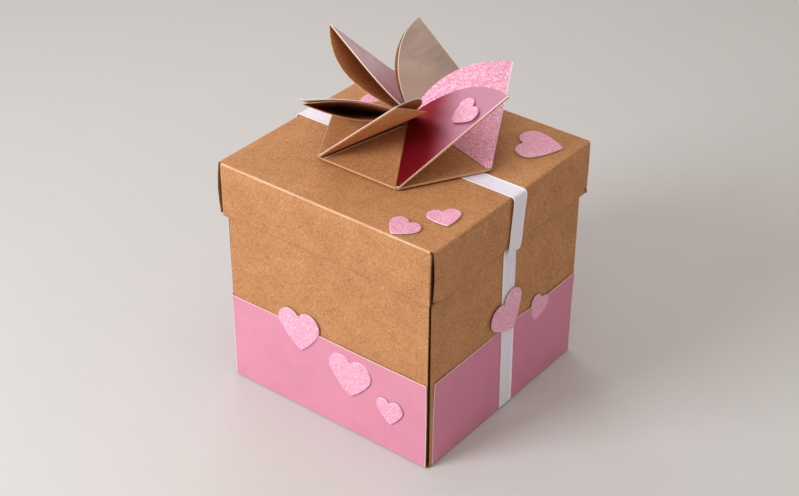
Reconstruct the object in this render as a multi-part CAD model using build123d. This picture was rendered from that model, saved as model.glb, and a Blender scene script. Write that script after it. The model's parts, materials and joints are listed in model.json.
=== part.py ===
from build123d import *
import math
import os

# Explosion gift box in kraft card: a base whose four walls fall open once the lid is lifted,
# two smaller fold-open layers nested inside it, and a lid that carries a folded paper bloom.
# The origin is at the bottom centre of the box. X runs along the ribbon, Z points up.

# Card, paper and ribbon stock
card = 0.5              # kraft card of the box, the layers and the lid
fold_radius = 0.9       # outside radius of a scored fold
band_paper = 0.3        # pink paper round the foot of the walls
glue_line = 0.05        # gap that a glue film leaves between two curved sheets
ribbon_width = 10.0
ribbon_thickness = 0.35
overrun = 1.0           # how far a cutter runs past what it cuts

# Base
base_side = 120.2
wall_height = 121.5
wall_end_gap = 0.1      # a wall's end stands back this much from its neighbour's inner face

# Nested layers
nest_step = 8.0         # each layer is this much smaller than the one round it
layers_lower = 1.3      # and their walls end this much lower still, under the lid
layer_count = 2

# Pink bands
band_height = 47.4
band_lift = 0.9         # the bands start just above the bottom fold
band_inset = 0.4        # kraft left bare at a wall's end
band_short_end = 2.6    # wider bare strip at one end of the side walls

# Lid
lid_ease = 2.4          # the skirts' outer faces stand this far outside the walls
lid_depth = 28.7
lid_rest_gap = 0.3      # the lid's top rests this far above the walls, on their rough edges
tab_length = 15.0       # glue tab behind each side skirt
skirt_end_gap = 0.3     # the side skirts' raw ends stop short of the corners
skirt_corner_radius = 2.0

# Ribbon
ribbon_offset = 0.8     # the ribbon lies this far behind the middle of the lid
ribbon_slant = 1.5      # degrees that the wall ribbons lean from upright
ribbon_foot_lift = 1.2  # bottom end of the wall ribbons above the table
ribbon_head_drop = 3.0  # top end of the wall ribbons below the walls' edges
ribbon_join_drop = 0.6  # lid ribbon's end above the skirt's lower edge

# Bloom on the lid
bloom_card = 0.4
crease_bead_share = 0.62        # radius of a folded edge's bead over the card's thickness
bloom_side = 46.5       # side of its hexagon floor
bloom_rise = 12.0       # height of its centre over the hexagon
bloom_spot = (-3.95, 7.9)       # centre of the hexagon on the lid
fold_line = 65.0        # from a hexagon corner to a petal's tip
arc_rise = 10.0         # bulge of a petal's free edge over its chord
throat_radius = 2.0     # the flaps' points stop this far from the centre
corner_step = 0.6       # the two creases of a petal start this far from its corner
petal_root = 1.6        # the layers start this far up from the corner
lining_root = 2.0       # and their linings this far
layer_gap = 0.15        # gap between a petal's two layers at the fold
lining_paper = 0.25
lining_fold_inset = 0.5         # kraft left bare along a petal's fold line
lining_crease_inset = 1.5       # and along its crease
foam_height = 1.1       # foam strips that lift the bloom over the ribbon
foam_width = 9.0
foam_length = 44.0
foam_setoff = 8.0       # each strip lies this far from the ribbon's edge
petal_angle = 60.4      # degrees between a petal's crease and its fold line
bloom_turns = 6
bloom_turned = 240.0    # direction of the front left corner of the hexagon, in degrees
layer_strips = 8        # straight strips that a bowed layer is made of
bead_sides = 8          # flats round a folded edge

# Each petal's name, its lean from the horizontal and how far its upper and lower layers bow,
# all in degrees, from the corner at the front left and round to the left
petals = [
    ("front_left", 40.4, 0.9, 3.8),
    ("front_right", 33.9, 0.9, 2.0),
    ("right", 18.9, 1.0, 0.9),
    ("back_right", 34.7, 1.0, 1.6),
    ("back_left", 42.0, 1.0, 6.5),
    ("left", 28.5, 2.4, 4.0),
]

# How much nearer the fold than the crease a layer's bow peaks: 0 would put the peak halfway
upper_skew = 0.8
lower_skew = 0.3

# Punched hearts
heart_thickness = 1.0
heart_rim = 0.2         # worn bevel round the face
heart_corner = 0.6      # radius of the notch and of the point
rim_slope = 45.0        # degrees
large_heart = 25.0      # width of the large punch
small_heart = 15.6      # width of the small punch
heart_height_share = 0.87       # height of a heart over its width
heart_lobe_share = 0.27         # radius of a lobe over the width
heart_side_share = 0.06         # bulge of a side over its length
heart_lobe_end = -20.0          # degrees at which a lobe's arc gives way to the side

# Hearts on the walls: name, wall, punch width, height of its back above the wall's card,
# then its place along the wall and up it as shares of the base's side, and its turn in degrees
wall_heart_shares = [
    ("heart_front_upper", "front", large_heart, band_paper, -0.136, 0.418, 4.8),
    ("heart_front_middle", "front", large_heart, band_paper, 0.121, 0.307, -0.4),
    ("heart_front_small", "front", small_heart, band_paper, 0.316, 0.218, 3.2),
    ("heart_on_ribbon", "right", large_heart, band_paper + ribbon_thickness, -0.016, 0.495, 24.0),
    ("heart_right_small", "right", small_heart, band_paper, 0.232, 0.393, -30.7),
]

# Hearts on the lid: name, punch width, place as shares of the lid's side, and turn in degrees
lid_heart_shares = [
    ("heart_lid_large", large_heart, 0.342, 0.327, 114.0),
    ("heart_lid_front", small_heart, 0.317, -0.419, -4.6),
    ("heart_lid_front_right", small_heart, 0.382, -0.282, 46.9),
    ("heart_lid_back", small_heart, -0.335, 0.242, 217.0),
]

# The heart on the front right petal: how far round from the fold line and out from the corner
petal_heart_share = (0.19, 0.745)
petal_heart_turn = 202.3        # degrees
petal_heart_float = 0.3         # clears the slight bow of the lining

# Sizes that follow from those above
base_half = base_side / 2
lid_side = base_side + 2 * lid_ease
lid_half = lid_side / 2
lid_top = wall_height + lid_rest_gap + card
lid_bottom = lid_top - lid_depth
bloom_floor = lid_top + foam_height
bloom_base = bloom_floor + bloom_card / 2
crease_bead = bloom_card * crease_bead_share            # at a single fold
fold_bead = (bloom_card * 3 / 2 + layer_gap) / 2        # where a petal's two layers meet


def save(shape, name):
    """Write one named piece to its own file."""
    shape.label = name
    export_step(shape, f"parts/{name}.step")


def tray_profile(half_span, height, length, thickness):
    """A sheet folded up at two edges, open at the top, running along Y."""
    outer = Rectangle(2 * half_span, 2 * height)
    outer = fillet(outer.vertices().group_by(Axis.Y)[0], fold_radius)
    inner = Rectangle(2 * (half_span - thickness), 2 * (height - thickness))
    inner = fillet(inner.vertices().group_by(Axis.Y)[0], fold_radius - thickness)
    upper = Pos(0, height, 0) * Rectangle(2 * half_span + overrun, 2 * height)
    band = outer - inner - upper
    upright = Pos(0, 0, height) * Rot(90, 0, 0) * band
    return extrude(upright, amount=length / 2, both=True)


def folded_tray(half_side, height, thickness, floor_level):
    """A cross of card with its four arms folded up, its corners left open."""
    wall_length = 2 * (half_side - thickness - wall_end_gap)
    along = tray_profile(half_side, height, wall_length, thickness)
    across = Rot(0, 0, 90) * along
    return Pos(0, 0, floor_level) * (along + across)


def build_layers():
    """The base and the smaller layers that stand inside it."""
    layers = [folded_tray(base_half, wall_height, card, 0)]
    for number in range(layer_count):
        half_side = base_half - nest_step * (number + 1) / 2
        height = wall_height - layers_lower - nest_step * (number + 1)
        layers.append(folded_tray(half_side, height, card, card * (number + 1)))
    return layers


def lid_shell(half_span, length):
    """The lid's top with two skirts folded down from it, running along Y."""
    cap = tray_profile(half_span, lid_depth, length, card)
    return Pos(0, 0, lid_top) * Rot(180, 0, 0) * cap


def build_lid():
    """One sheet: a square top, four skirts, and tabs glued behind the side skirts."""
    skirt_length = 2 * (lid_half - skirt_end_gap)
    sides = lid_shell(lid_half, skirt_length)
    low_ends = sides.edges().filter_by(Axis.X).group_by(Axis.Z)[0]
    sides = fillet(low_ends, skirt_corner_radius)
    wrapped_length = 2 * (lid_half - fold_radius)
    wrapped = Rot(0, 0, 90) * lid_shell(lid_half, wrapped_length)
    corner = RectangleRounded(2 * (lid_half - card), 2 * lid_half, fold_radius)
    whole_zone = extrude(Pos(0, 0, lid_bottom) * corner, amount=lid_depth)
    sheet = sides + (wrapped & whole_zone)
    tab_height = lid_depth - fold_radius
    tab = Box(card, tab_length, tab_height)
    tab_x = lid_half - card - card / 2
    tab_y = lid_half - tab_length / 2
    tab_zone = extrude(Pos(0, 0, lid_bottom) * corner, amount=tab_height)
    for side_x in (-1, 1):
        for side_y in (-1, 1):
            place = Pos(side_x * tab_x, side_y * tab_y, lid_bottom + tab_height / 2)
            sheet += (place * tab) & tab_zone
    return sheet


def build_band(name):
    """One strip of pink paper on a wall's outer face."""
    wall_half = base_half - card - wall_end_gap
    start = -wall_half + (band_short_end if name in ("right", "left") else band_inset)
    end = wall_half - band_inset
    strip = Box(end - start, band_paper, band_height)
    middle = (start + end) / 2
    turn = {"front": 0, "right": 90, "back": 180, "left": 270}[name]
    place = Pos(middle, -base_half - band_paper / 2, band_lift + band_height / 2)
    return Rot(0, 0, turn) * place * strip


def build_lid_ribbon():
    """The ribbon over the lid's top and down its two side skirts."""
    reach = lid_half + ribbon_thickness
    drop = lid_depth + ribbon_thickness - ribbon_join_drop
    outer_radius = fold_radius + ribbon_thickness
    outer = Rectangle(2 * reach, 2 * drop)
    outer = fillet(outer.vertices().group_by(Axis.Y)[0], outer_radius)
    inner = Rectangle(2 * lid_half, 2 * (drop - ribbon_thickness))
    inner = fillet(inner.vertices().group_by(Axis.Y)[0], fold_radius)
    upper = Pos(0, drop, 0) * Rectangle(2 * reach + overrun, 2 * drop)
    band = Rot(90, 0, 0) * (outer - inner - upper)
    strip = extrude(band, amount=ribbon_width / 2, both=True)
    return Pos(0, ribbon_offset, lid_top + ribbon_thickness - drop) * Rot(180, 0, 0) * strip


def build_wall_ribbon():
    """The ribbon down a side wall: flat on the card, then stepping out over the pink band."""
    wall_face = base_half
    band_face = base_half + band_paper
    band_top = band_lift + band_height
    step = ribbon_thickness + band_paper
    head = wall_height - ribbon_head_drop
    outline = Polyline(
        (band_face, ribbon_foot_lift),
        (band_face, band_top),
        (wall_face, band_top + step),
        (wall_face, head),
        (wall_face + ribbon_thickness, head),
        (wall_face + ribbon_thickness, band_top + step),
        (band_face + ribbon_thickness, band_top),
        (band_face + ribbon_thickness, ribbon_foot_lift),
        close=True,
    )
    upright = Rot(90, 0, 0) * make_face(outline)
    strip = extrude(upright, amount=ribbon_width / 2, both=True)
    hinge = Pos(0, ribbon_offset, lid_bottom)
    return hinge * Rot(ribbon_slant, 0, 0) * Pos(0, 0, -lid_bottom) * strip


def heart_face(width):
    """A punched heart, point down, with its origin between the centres of its lobes."""
    lobe = heart_lobe_share * width
    lobe_x = width / 2 - lobe
    notch = math.sqrt(lobe ** 2 - lobe_x ** 2)
    point = lobe - heart_height_share * width
    start_angle = math.degrees(math.atan2(notch, -lobe_x))
    sweep = heart_lobe_end - start_angle
    curve = CenterArc((lobe_x, 0), lobe, start_angle, sweep)
    shoulder = curve @ 1
    middle = (shoulder + Vector(0, point)) / 2
    side = Vector(0, point) - shoulder
    bulge = Vector(-side.Y, side.X) * heart_side_share
    flank = ThreePointArc(shoulder, middle + bulge, (0, point))
    half = Curve() + [curve, flank]
    face = make_face(half + mirror(half, about=Plane.YZ))
    sharp = face.vertices().sort_by(lambda corner: abs(corner.X))[:2]
    return fillet(sharp, heart_corner)


def heart(width):
    """A heart of thick glitter card lying on its back, its face bevelled all round."""
    outline = Pos(0, 0, heart_rim) * heart_face(width)
    body = extrude(outline, amount=heart_thickness - heart_rim)
    rim = extrude(outline, amount=heart_rim, taper=rim_slope)
    return Pos(0, 0, heart_thickness) * Rot(0, 180, 0) * (body + rim)


def build_wall_heart(wall, width, lift, along_share, up_share, turn):
    """A heart standing on a wall, its back on what it is glued to."""
    facing = {"front": 0, "right": 90}[wall]
    place = Pos(along_share * base_side, -base_half - lift, up_share * base_side)
    return Rot(0, 0, facing) * place * Rot(90, 0, 0) * Rot(0, 0, turn) * heart(width)


def build_lid_heart(width, x_share, y_share, turn):
    """A heart lying on the lid."""
    place = Pos(x_share * lid_side, y_share * lid_side, lid_top)
    return place * Rot(0, 0, turn) * heart(width)


def bloom_centre(height):
    """The point over the middle of the hexagon at a height above its floor."""
    return Vector(bloom_spot[0], bloom_spot[1], bloom_base + height)


def around(angle, radius, height):
    """A point round the bloom's axis."""
    turn = math.radians(angle)
    return bloom_centre(height) + Vector(math.cos(turn), math.sin(turn), 0) * radius


def corner_direction(number):
    """The direction of a hexagon corner, counted from the one at the front left."""
    return bloom_turned + 360 / bloom_turns * number


def hexagon_corner(number):
    return around(corner_direction(number), bloom_side, 0)


def flap_point(number):
    """The inner end of the flap between a corner and the next one round."""
    return around(corner_direction(number + 1 / 2), throat_radius, bloom_rise)


def stepped_corner(number, towards):
    """Where a flap's crease starts, a little along the side from the corner."""
    corner = hexagon_corner(number)
    neighbour = hexagon_corner(number + towards)
    return corner + (neighbour - corner).normalized() * corner_step


def fold_rod(start, end, radius):
    """The blunt bead of card along one fold."""
    section = Plane(start, z_dir=end - start) * RegularPolygon(radius, bead_sides)
    return extrude(section, amount=(end - start).length)


def flat_plate(corners, thickness):
    """A flat piece of card about the plane through its corners."""
    face = Face(Wire.make_polygon(corners))
    return extrude(face, amount=thickness / 2, both=True)


def petal_axes(number):
    """A petal's crease direction, its direction across and the normal of its upper side."""
    lean = math.radians(petals[number][1])
    crease = (bloom_centre(bloom_rise) - hexagon_corner(number)).normalized()
    turn = math.radians(corner_direction(number))
    round_way = Vector(-math.sin(turn), math.cos(turn), 0)
    upward = crease.cross(round_way)
    upward = upward if upward.Z > 0 else upward * -1
    across = round_way * math.cos(lean) + upward * math.sin(lean)
    normal = upward * math.cos(lean) - round_way * math.sin(lean)
    return crease, across, normal


def petal_reach(angle):
    """Distance from the corner to the petal's free edge, an arc from the tip to the centre."""
    crease_length = (bloom_centre(bloom_rise) - hexagon_corner(0)).length
    full = math.radians(petal_angle)
    tip = Vector(fold_line * math.cos(full), fold_line * math.sin(full))
    foot = Vector(crease_length - throat_radius / 2, 0)
    chord = tip - foot
    radius = (chord.length ** 2 / 4 + arc_rise ** 2) / (2 * arc_rise)
    inward = Vector(-chord.Y, chord.X).normalized()
    hub = (tip + foot) / 2 + inward * (radius - arc_rise)
    ray = Vector(math.cos(angle), math.sin(angle))
    along = hub.dot(ray)
    return along + math.sqrt(radius ** 2 - hub.length ** 2 + along ** 2)


def layer_ray(number, side, share):
    """Start and direction of one straight line of a petal layer, from fold line to crease."""
    crease, across, normal = petal_axes(number)
    full = math.radians(petal_angle)
    fold = crease * math.cos(full) + across * math.sin(full)
    corner = hexagon_corner(number)
    if side > 0:
        foot = stepped_corner(number, -1)
        seat = flap_point(number - 1)
        bow = petals[number][2]
        skew = upper_skew
    else:
        foot = stepped_corner(number, 1)
        seat = flap_point(number)
        bow = petals[number][3]
        skew = lower_skew
    edge = (seat - foot).normalized()
    turn = math.acos(fold.dot(edge))
    blend = (fold * math.sin((1 - share) * turn) + edge * math.sin(share * turn)) / math.sin(turn)
    swell = math.sin(math.pi * share) + skew / 2 * math.sin(2 * math.pi * share)
    swell *= math.tan(math.radians(bow))
    direction = (blend + normal * side * swell).normalized()
    spread = (bloom_card + layer_gap) / 2 * (1 - share)
    start = corner + (foot - corner) * share + normal * side * spread
    return start, direction


def layer_normal(number, side, share):
    """The outward direction of a petal layer along one of its straight lines."""
    step = 1 / 64
    before = layer_ray(number, side, max(share - step, 0))
    after = layer_ray(number, side, min(share + step, 1))
    tangent = (after[0] + after[1] * bloom_side) - (before[0] + before[1] * bloom_side)
    outward = layer_ray(number, side, share)[1].cross(tangent).normalized()
    return outward if outward.dot(petal_axes(number)[2]) * side > 0 else outward * -1


def layer_section(number, side, share, low, high, near):
    """The four corners of a petal layer's cross-section along one of its straight lines."""
    start, direction = layer_ray(number, side, share)
    outward = layer_normal(number, side, share)
    far = petal_reach(math.radians(petal_angle) * (1 - share))
    return [
        start + direction * near + outward * low,
        start + direction * far + outward * low,
        start + direction * far + outward * high,
        start + direction * near + outward * high,
    ]


def layer_sheet(number, side, low, high, near, first, last):
    """A petal layer or its lining: facets from one cross-section to the next, fold to crease."""
    steps = [index / layer_strips for index in range(layer_strips + 1)]
    shares = [min(max(step, first), last) for step in steps]
    sections = [layer_section(number, side, share, low, high, near) for share in shares]
    facets = [sections[0], sections[-1]]
    for before, after in zip(sections, sections[1:]):
        for corner in range(len(before)):
            facets.append([before[corner - 1], before[corner], after[corner]])
            facets.append([before[corner - 1], after[corner], after[corner - 1]])
    return Solid(Shell([Face(Wire.make_polygon(corners)) for corners in facets]))


def build_bloom(folded_petals):
    """One sheet: a hexagon, six flaps folded in to the centre, and six two-layer petals."""
    floor = flat_plate([hexagon_corner(number) for number in range(bloom_turns)], bloom_card)
    flaps = []
    for number in range(bloom_turns):
        left = stepped_corner(number, 1)
        right = stepped_corner(number + 1, -1)
        inner = flap_point(number)
        flaps.append(flat_plate([left, right, inner], bloom_card))
        flaps.append(fold_rod(hexagon_corner(number), hexagon_corner(number + 1), crease_bead))
        flaps.append(fold_rod(left, inner, crease_bead))
        flaps.append(fold_rod(right, inner, crease_bead))
    sheet = floor.fuse(*flaps)
    for petal in folded_petals:
        sheet = sheet.fuse(petal)
    return sheet


def build_petal(number):
    """Two layers of card that share one folded edge."""
    corner = hexagon_corner(number)
    direction = layer_ray(number, 1, 0)[1]
    edge = fold_rod(corner, corner + direction * fold_line, fold_bead)
    half = bloom_card / 2
    return edge.fuse(*[layer_sheet(number, side, -half, half, petal_root, 0, 1) for side in (-1, 1)])


def build_lining(number, neighbours):
    """Patterned paper glued on a petal's upper layer, trimmed where its neighbours lean on it."""
    low = bloom_card / 2 + glue_line
    high = low + lining_paper
    first = lining_fold_inset / fold_line
    last = 1 - lining_crease_inset / fold_line
    paper = layer_sheet(number, 1, low, high, lining_root, first, last)
    return paper.cut(*neighbours).solids().sort_by(SortBy.VOLUME)[-1]


def build_petal_heart():
    """The small heart on the front right petal's lining."""
    number = 1
    start, direction = layer_ray(number, 1, petal_heart_share[0])
    outward = layer_normal(number, 1, petal_heart_share[0])
    lift = bloom_card / 2 + glue_line + lining_paper + petal_heart_float
    spot = start + direction * fold_line * petal_heart_share[1] + outward * lift
    plane = Plane(spot, x_dir=petal_axes(number)[0], z_dir=outward)
    return plane.location * Rot(0, 0, petal_heart_turn) * heart(small_heart)


def build_foam(side):
    """A foam strip beside the ribbon, which holds the bloom up off the lid."""
    strip = Box(foam_length, foam_width, foam_height)
    away = side * (ribbon_width / 2 + foam_setoff + foam_width / 2)
    return Pos(bloom_spot[0], ribbon_offset + away, lid_top + foam_height / 2) * strip


def main():
    os.makedirs("parts", exist_ok=True)
    for name, layer in zip(("base_box", "middle_layer", "inner_layer"), build_layers()):
        save(layer, name)
    for name in ("front", "right", "back", "left"):
        save(build_band(name), f"band_{name}")
    save(build_lid(), "lid")
    save(build_lid_ribbon(), "lid_ribbon")
    wall_ribbon = build_wall_ribbon()
    save(wall_ribbon, "wall_ribbon_right")
    save(mirror(wall_ribbon, about=Plane.YZ), "wall_ribbon_left")
    save(build_foam(-1), "foam_strip_front")
    save(build_foam(1), "foam_strip_back")
    folded_petals = [build_petal(number) for number in range(bloom_turns)]
    save(build_bloom(folded_petals), "bloom")
    linings = []
    for number in range(bloom_turns):
        linings.append(build_lining(number, [folded_petals[number - 1], *linings]))
        save(linings[-1], f"petal_lining_{petals[number][0]}")
    for name, wall, width, lift, along_share, up_share, turn in wall_heart_shares:
        save(build_wall_heart(wall, width, lift, along_share, up_share, turn), name)
    for name, width, x_share, y_share, turn in lid_heart_shares:
        save(build_lid_heart(width, x_share, y_share, turn), name)
    save(build_petal_heart(), "heart_petal")


main()
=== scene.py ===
# %% [markdown]
# # A kraft card gift box with a folded paper bloom
# The box is all card and paper: a base whose walls fall open, smaller layers inside it, a deep
# lid, pink bands, a satin ribbon, punched glitter hearts and a pinwheel bloom. Its construction
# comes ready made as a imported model. This notebook gives it its looks. We load the model first,
# because every new piece and every finish is placed by it.

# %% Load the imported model
import bpy
import bmesh
import json
import math
from mathutils import Matrix, Vector

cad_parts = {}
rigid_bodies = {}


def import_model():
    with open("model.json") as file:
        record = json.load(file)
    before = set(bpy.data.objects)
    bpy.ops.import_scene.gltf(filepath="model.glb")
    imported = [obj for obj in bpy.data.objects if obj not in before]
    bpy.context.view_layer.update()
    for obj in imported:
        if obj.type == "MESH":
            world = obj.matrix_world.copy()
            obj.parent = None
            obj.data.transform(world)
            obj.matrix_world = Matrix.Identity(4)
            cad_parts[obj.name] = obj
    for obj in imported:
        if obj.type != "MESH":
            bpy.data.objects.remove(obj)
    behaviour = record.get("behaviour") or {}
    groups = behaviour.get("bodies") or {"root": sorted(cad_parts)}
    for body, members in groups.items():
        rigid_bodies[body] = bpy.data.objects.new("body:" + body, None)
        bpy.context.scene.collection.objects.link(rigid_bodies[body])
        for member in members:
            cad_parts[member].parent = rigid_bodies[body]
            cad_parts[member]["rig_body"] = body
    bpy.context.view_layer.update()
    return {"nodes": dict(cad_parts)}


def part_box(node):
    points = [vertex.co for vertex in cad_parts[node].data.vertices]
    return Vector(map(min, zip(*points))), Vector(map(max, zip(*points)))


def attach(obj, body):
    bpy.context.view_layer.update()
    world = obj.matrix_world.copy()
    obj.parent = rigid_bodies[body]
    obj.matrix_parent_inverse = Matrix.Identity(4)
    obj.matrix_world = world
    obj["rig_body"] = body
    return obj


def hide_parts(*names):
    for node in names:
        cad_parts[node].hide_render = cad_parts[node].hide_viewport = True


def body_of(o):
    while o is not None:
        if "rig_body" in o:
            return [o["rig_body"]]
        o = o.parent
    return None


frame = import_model()
nodes = frame["nodes"]
print("packed pieces:", len(nodes))

# %% [markdown]
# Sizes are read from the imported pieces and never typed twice. One millimetre gets a name,
# since card, paper and ribbon are bought in millimetres while Blender works in metres.

# %% Measure the box, the lid and the bloom
mm = 0.001
lid_low, lid_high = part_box("lid")
base_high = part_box("base_box")[1]
band_low, band_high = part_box("band_front")
lid_side = lid_high.y - lid_low.y
lid_half = lid_side / 2
lid_top = lid_high.z
lid_bottom = lid_low.z
base_half = base_high.y
print("lid side", round(lid_side / mm, 1), "mm, total height", round(lid_top / mm, 1), "mm")

# %% [markdown]
# The camera stands where the photographer stood: out from the near corner and well above it,
# with a long lens, so that the three visible faces taper only slightly. Its place is worked out
# from a turn round the box, a height angle and a distance, which is easier to check than three
# bare coordinates.

# %% Set up the camera
camera_turn = math.radians(37.453)
camera_rise = math.radians(33.066)
camera_roll = math.radians(0.517)
camera_distance = lid_side * 6.5615
camera_slide_share = (0.022682, -0.038186)
camera_lens = 75.87
camera_sensor = 36

aim = Vector((0, 0, lid_side / 2))
back = Vector((
    math.sin(camera_turn) * math.cos(camera_rise),
    -math.cos(camera_turn) * math.cos(camera_rise),
    math.sin(camera_rise),
))
level_right = Vector((math.cos(camera_turn), math.sin(camera_turn), 0))
level_up = back.cross(level_right)
right = level_right * math.cos(camera_roll) + level_up * math.sin(camera_roll)
up = level_up * math.cos(camera_roll) - level_right * math.sin(camera_roll)
slide = right * camera_slide_share[0] + up * camera_slide_share[1]
place = aim + back * camera_distance - slide * lid_side

bpy.ops.object.camera_add()
camera = bpy.context.object
camera.name = "camera"
turned = Matrix((right, up, back)).transposed().to_4x4()
camera.matrix_world = Matrix.Translation(place) @ turned
camera.data.sensor_width = camera_sensor
camera.data.lens = camera_lens
bpy.context.scene.camera = camera
print("camera at", [round(value, 3) for value in place])

# %% [markdown]
# The room is a plain pale table top and soft light. A wide lamp stands in front and a little to
# the left, so the front face is the bright one and the right face lies in shade. A small weak
# one behind the left corner lifts the top, most where it is near. A very wide one overhead and
# the pale warm world fill the rest. A point lamp would be simpler, but its hard shadows would
# make paper look like metal.

# %% Lay the floor and set the lights
scene = bpy.context.scene
scene.view_settings.view_transform = "Standard"

floor_size = 6.0
bpy.ops.mesh.primitive_plane_add(size=floor_size)
floor = bpy.context.object
floor.name = "floor"

def add_lamp(name, place, size, power, colour):
    """A square soft lamp that faces the middle of the box."""
    bpy.ops.object.light_add(type="AREA", location=place)
    lamp = bpy.context.object
    lamp.name = name
    lamp.data.size = size
    lamp.data.energy = power
    lamp.data.color = colour
    lamp.rotation_euler = (aim - Vector(place)).to_track_quat("-Z", "Y").to_euler()

add_lamp("key", (-0.34, -0.8, 0.58), size=0.42, power=7.8, colour=(0.95, 0.98, 1.0))
add_lamp("behind left", (-0.34, 0.28, 0.55), size=0.22, power=0.5, colour=(0.98, 0.985, 1.0))
add_lamp("overhead", (0.1, -0.1, 1.4), size=1.1, power=3.0, colour=(1.0, 0.99, 0.98))

sky_colour = (0.93, 0.85, 0.785, 1)
sky_strength = 0.54
world = bpy.data.worlds.new("room")
world.use_nodes = True
sky = world.node_tree.nodes["Background"]
sky.inputs["Color"].default_value = sky_colour
sky.inputs["Strength"].default_value = sky_strength
scene.world = world

# %% [markdown]
# Materials are built from nodes. Short helpers keep that readable. They add a node with its
# settings, join two sockets, lay a texture on Object coordinates, start a node group or a
# material, do a sum, and turn a colour picked on the screen into a shader's own values.

# %% Helpers for node trees
def add_node(tree, kind, values=None, **settings):
    """A node of one kind, with its settings and the values of its input sockets."""
    node = tree.nodes.new(kind)
    for name, value in settings.items():
        setattr(node, name, value)
    for name, value in (values or {}).items():
        node.inputs[name].default_value = value
    return node

def join(tree, source, output, target, entry):
    """Join an output of one node to an input of another."""
    tree.links.new(source.outputs[output], target.inputs[entry])

def lay_texture(tree, kind, values):
    """A texture or a mapping that reads Object coordinates."""
    where = add_node(tree, "ShaderNodeTexCoord")
    texture = add_node(tree, kind, values)
    join(tree, where, "Object", texture, "Vector")
    return texture

def place_in_mm(tree):
    """A node that gives Object coordinates in millimetres."""
    where = add_node(tree, "ShaderNodeTexCoord")
    in_mm = add_node(tree, "ShaderNodeVectorMath", operation="SCALE")
    in_mm.inputs["Scale"].default_value = 1 / mm
    join(tree, where, "Object", in_mm, 0)
    return in_mm

def new_group(name, entries, results):
    """An empty node group and its two end nodes."""
    group = bpy.data.node_groups.new(name, "ShaderNodeTree")
    for label, kind, value in entries:
        socket = group.interface.new_socket(label, in_out="INPUT", socket_type=kind)
        socket.default_value = value
    for label, kind in results:
        group.interface.new_socket(label, in_out="OUTPUT", socket_type=kind)
    start = group.nodes.new("NodeGroupInput")
    end = group.nodes.new("NodeGroupOutput")
    return group, start, end

def math_node(tree, operation, first, second):
    """A Math node fed by sockets or plain numbers."""
    node = add_node(tree, "ShaderNodeMath", operation=operation)
    for index, value in enumerate((first, second)):
        if isinstance(value, (int, float)):
            node.inputs[index].default_value = value
        else:
            tree.links.new(value, node.inputs[index])
    return node.outputs[0]

def new_material(name):
    """A material with its tree and its Principled shader."""
    material = bpy.data.materials.new(name)
    material.use_nodes = True
    tree = material.node_tree
    return material, tree, tree.nodes["Principled BSDF"]

def from_screen(red, green, blue):
    """A colour picked on the screen, turned into the linear values that a shader works with."""
    linear = [((value / 255 + 0.055) / 1.055) ** 2.4 for value in (red, green, blue)]
    return (*linear, 1)

# %% [markdown]
# Kraft card is never one flat brown. Seen close, short pale and dark fibres lie in all
# directions, and seen from a step away the tone drifts in soft clouds. The group below makes
# both from noise on Object coordinates, in real millimetres, so the card is the same on every
# piece. Fibres come from the thin contour lines of a twisted noise, which look like hairs,
# where plain noise would look like sand.

# %% Group: card fibres
fibre_group, entry, result = new_group(
    "Card fibres",
    [("Fibre size", "NodeSocketFloat", 1.9), ("Cloud size", "NodeSocketFloat", 12.0)],
    [("Clouds", "NodeSocketFloat"), ("Pale fibres", "NodeSocketFloat"),
     ("Dark fibres", "NodeSocketFloat"), ("Grain", "NodeSocketFloat"),
     ("Specks", "NodeSocketFloat")],
)
fibre_place = place_in_mm(fibre_group)
grain_share = 0.6
bark_per_mm = 0.11
bark_radius = 0.035

def noise_in_mm(size, distortion, seed):
    """Noise whose features are about so many millimetres across."""
    shift = add_node(fibre_group, "ShaderNodeVectorMath", operation="ADD")
    shift.inputs[1].default_value = (seed, seed * 2, seed * 3)
    join(fibre_group, fibre_place, 0, shift, 0)
    noise = add_node(fibre_group, "ShaderNodeTexNoise", {"Detail": 3.0, "Distortion": distortion})
    join(fibre_group, shift, 0, noise, "Vector")
    fibre_group.links.new(math_node(fibre_group, "DIVIDE", 1.0, size), noise.inputs["Scale"])
    return noise.outputs["Fac"]

def contour_lines(field, sharpness):
    """Thin bright lines where a noise field passes its middle value."""
    offset = math_node(fibre_group, "SUBTRACT", field, 0.5)
    distance = math_node(fibre_group, "ABSOLUTE", offset, 0.0)
    fall = math_node(fibre_group, "MULTIPLY", distance, sharpness)
    line = math_node(fibre_group, "SUBTRACT", 1.0, fall)
    return math_node(fibre_group, "MAXIMUM", line, 0.0)

fibre_size = entry.outputs["Fibre size"]
clouds = noise_in_mm(entry.outputs["Cloud size"], distortion=0.4, seed=11.0)
pale = contour_lines(noise_in_mm(fibre_size, distortion=2.2, seed=3.0), sharpness=13.0)
dark = contour_lines(noise_in_mm(fibre_size, distortion=2.6, seed=27.0), sharpness=16.0)
grain_size = math_node(fibre_group, "MULTIPLY", fibre_size, grain_share)
grain = noise_in_mm(grain_size, distortion=0.6, seed=41.0)
bark = add_node(fibre_group, "ShaderNodeTexVoronoi", {"Scale": bark_per_mm})
join(fibre_group, fibre_place, 0, bark, "Vector")
specks = math_node(fibre_group, "LESS_THAN", bark.outputs["Distance"], bark_radius)
fields = {"Clouds": clouds, "Pale fibres": pale, "Dark fibres": dark, "Grain": grain, "Specks": specks}
for label, socket in fields.items():
    fibre_group.links.new(socket, result.inputs[label])
print("group:", fibre_group.name, "with", len(fibre_group.nodes), "nodes")

# %% [markdown]
# The kraft material lays those fibres over the card's own brown: clouds first, then a mottle
# about a millimetre across, dark fibres, pale ones, and here and there a speck of bark. The same
# fibres lift the surface a little through a Bump node, and the roughness changes with the grain,
# since pressed card has a faint broken sheen.

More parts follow.
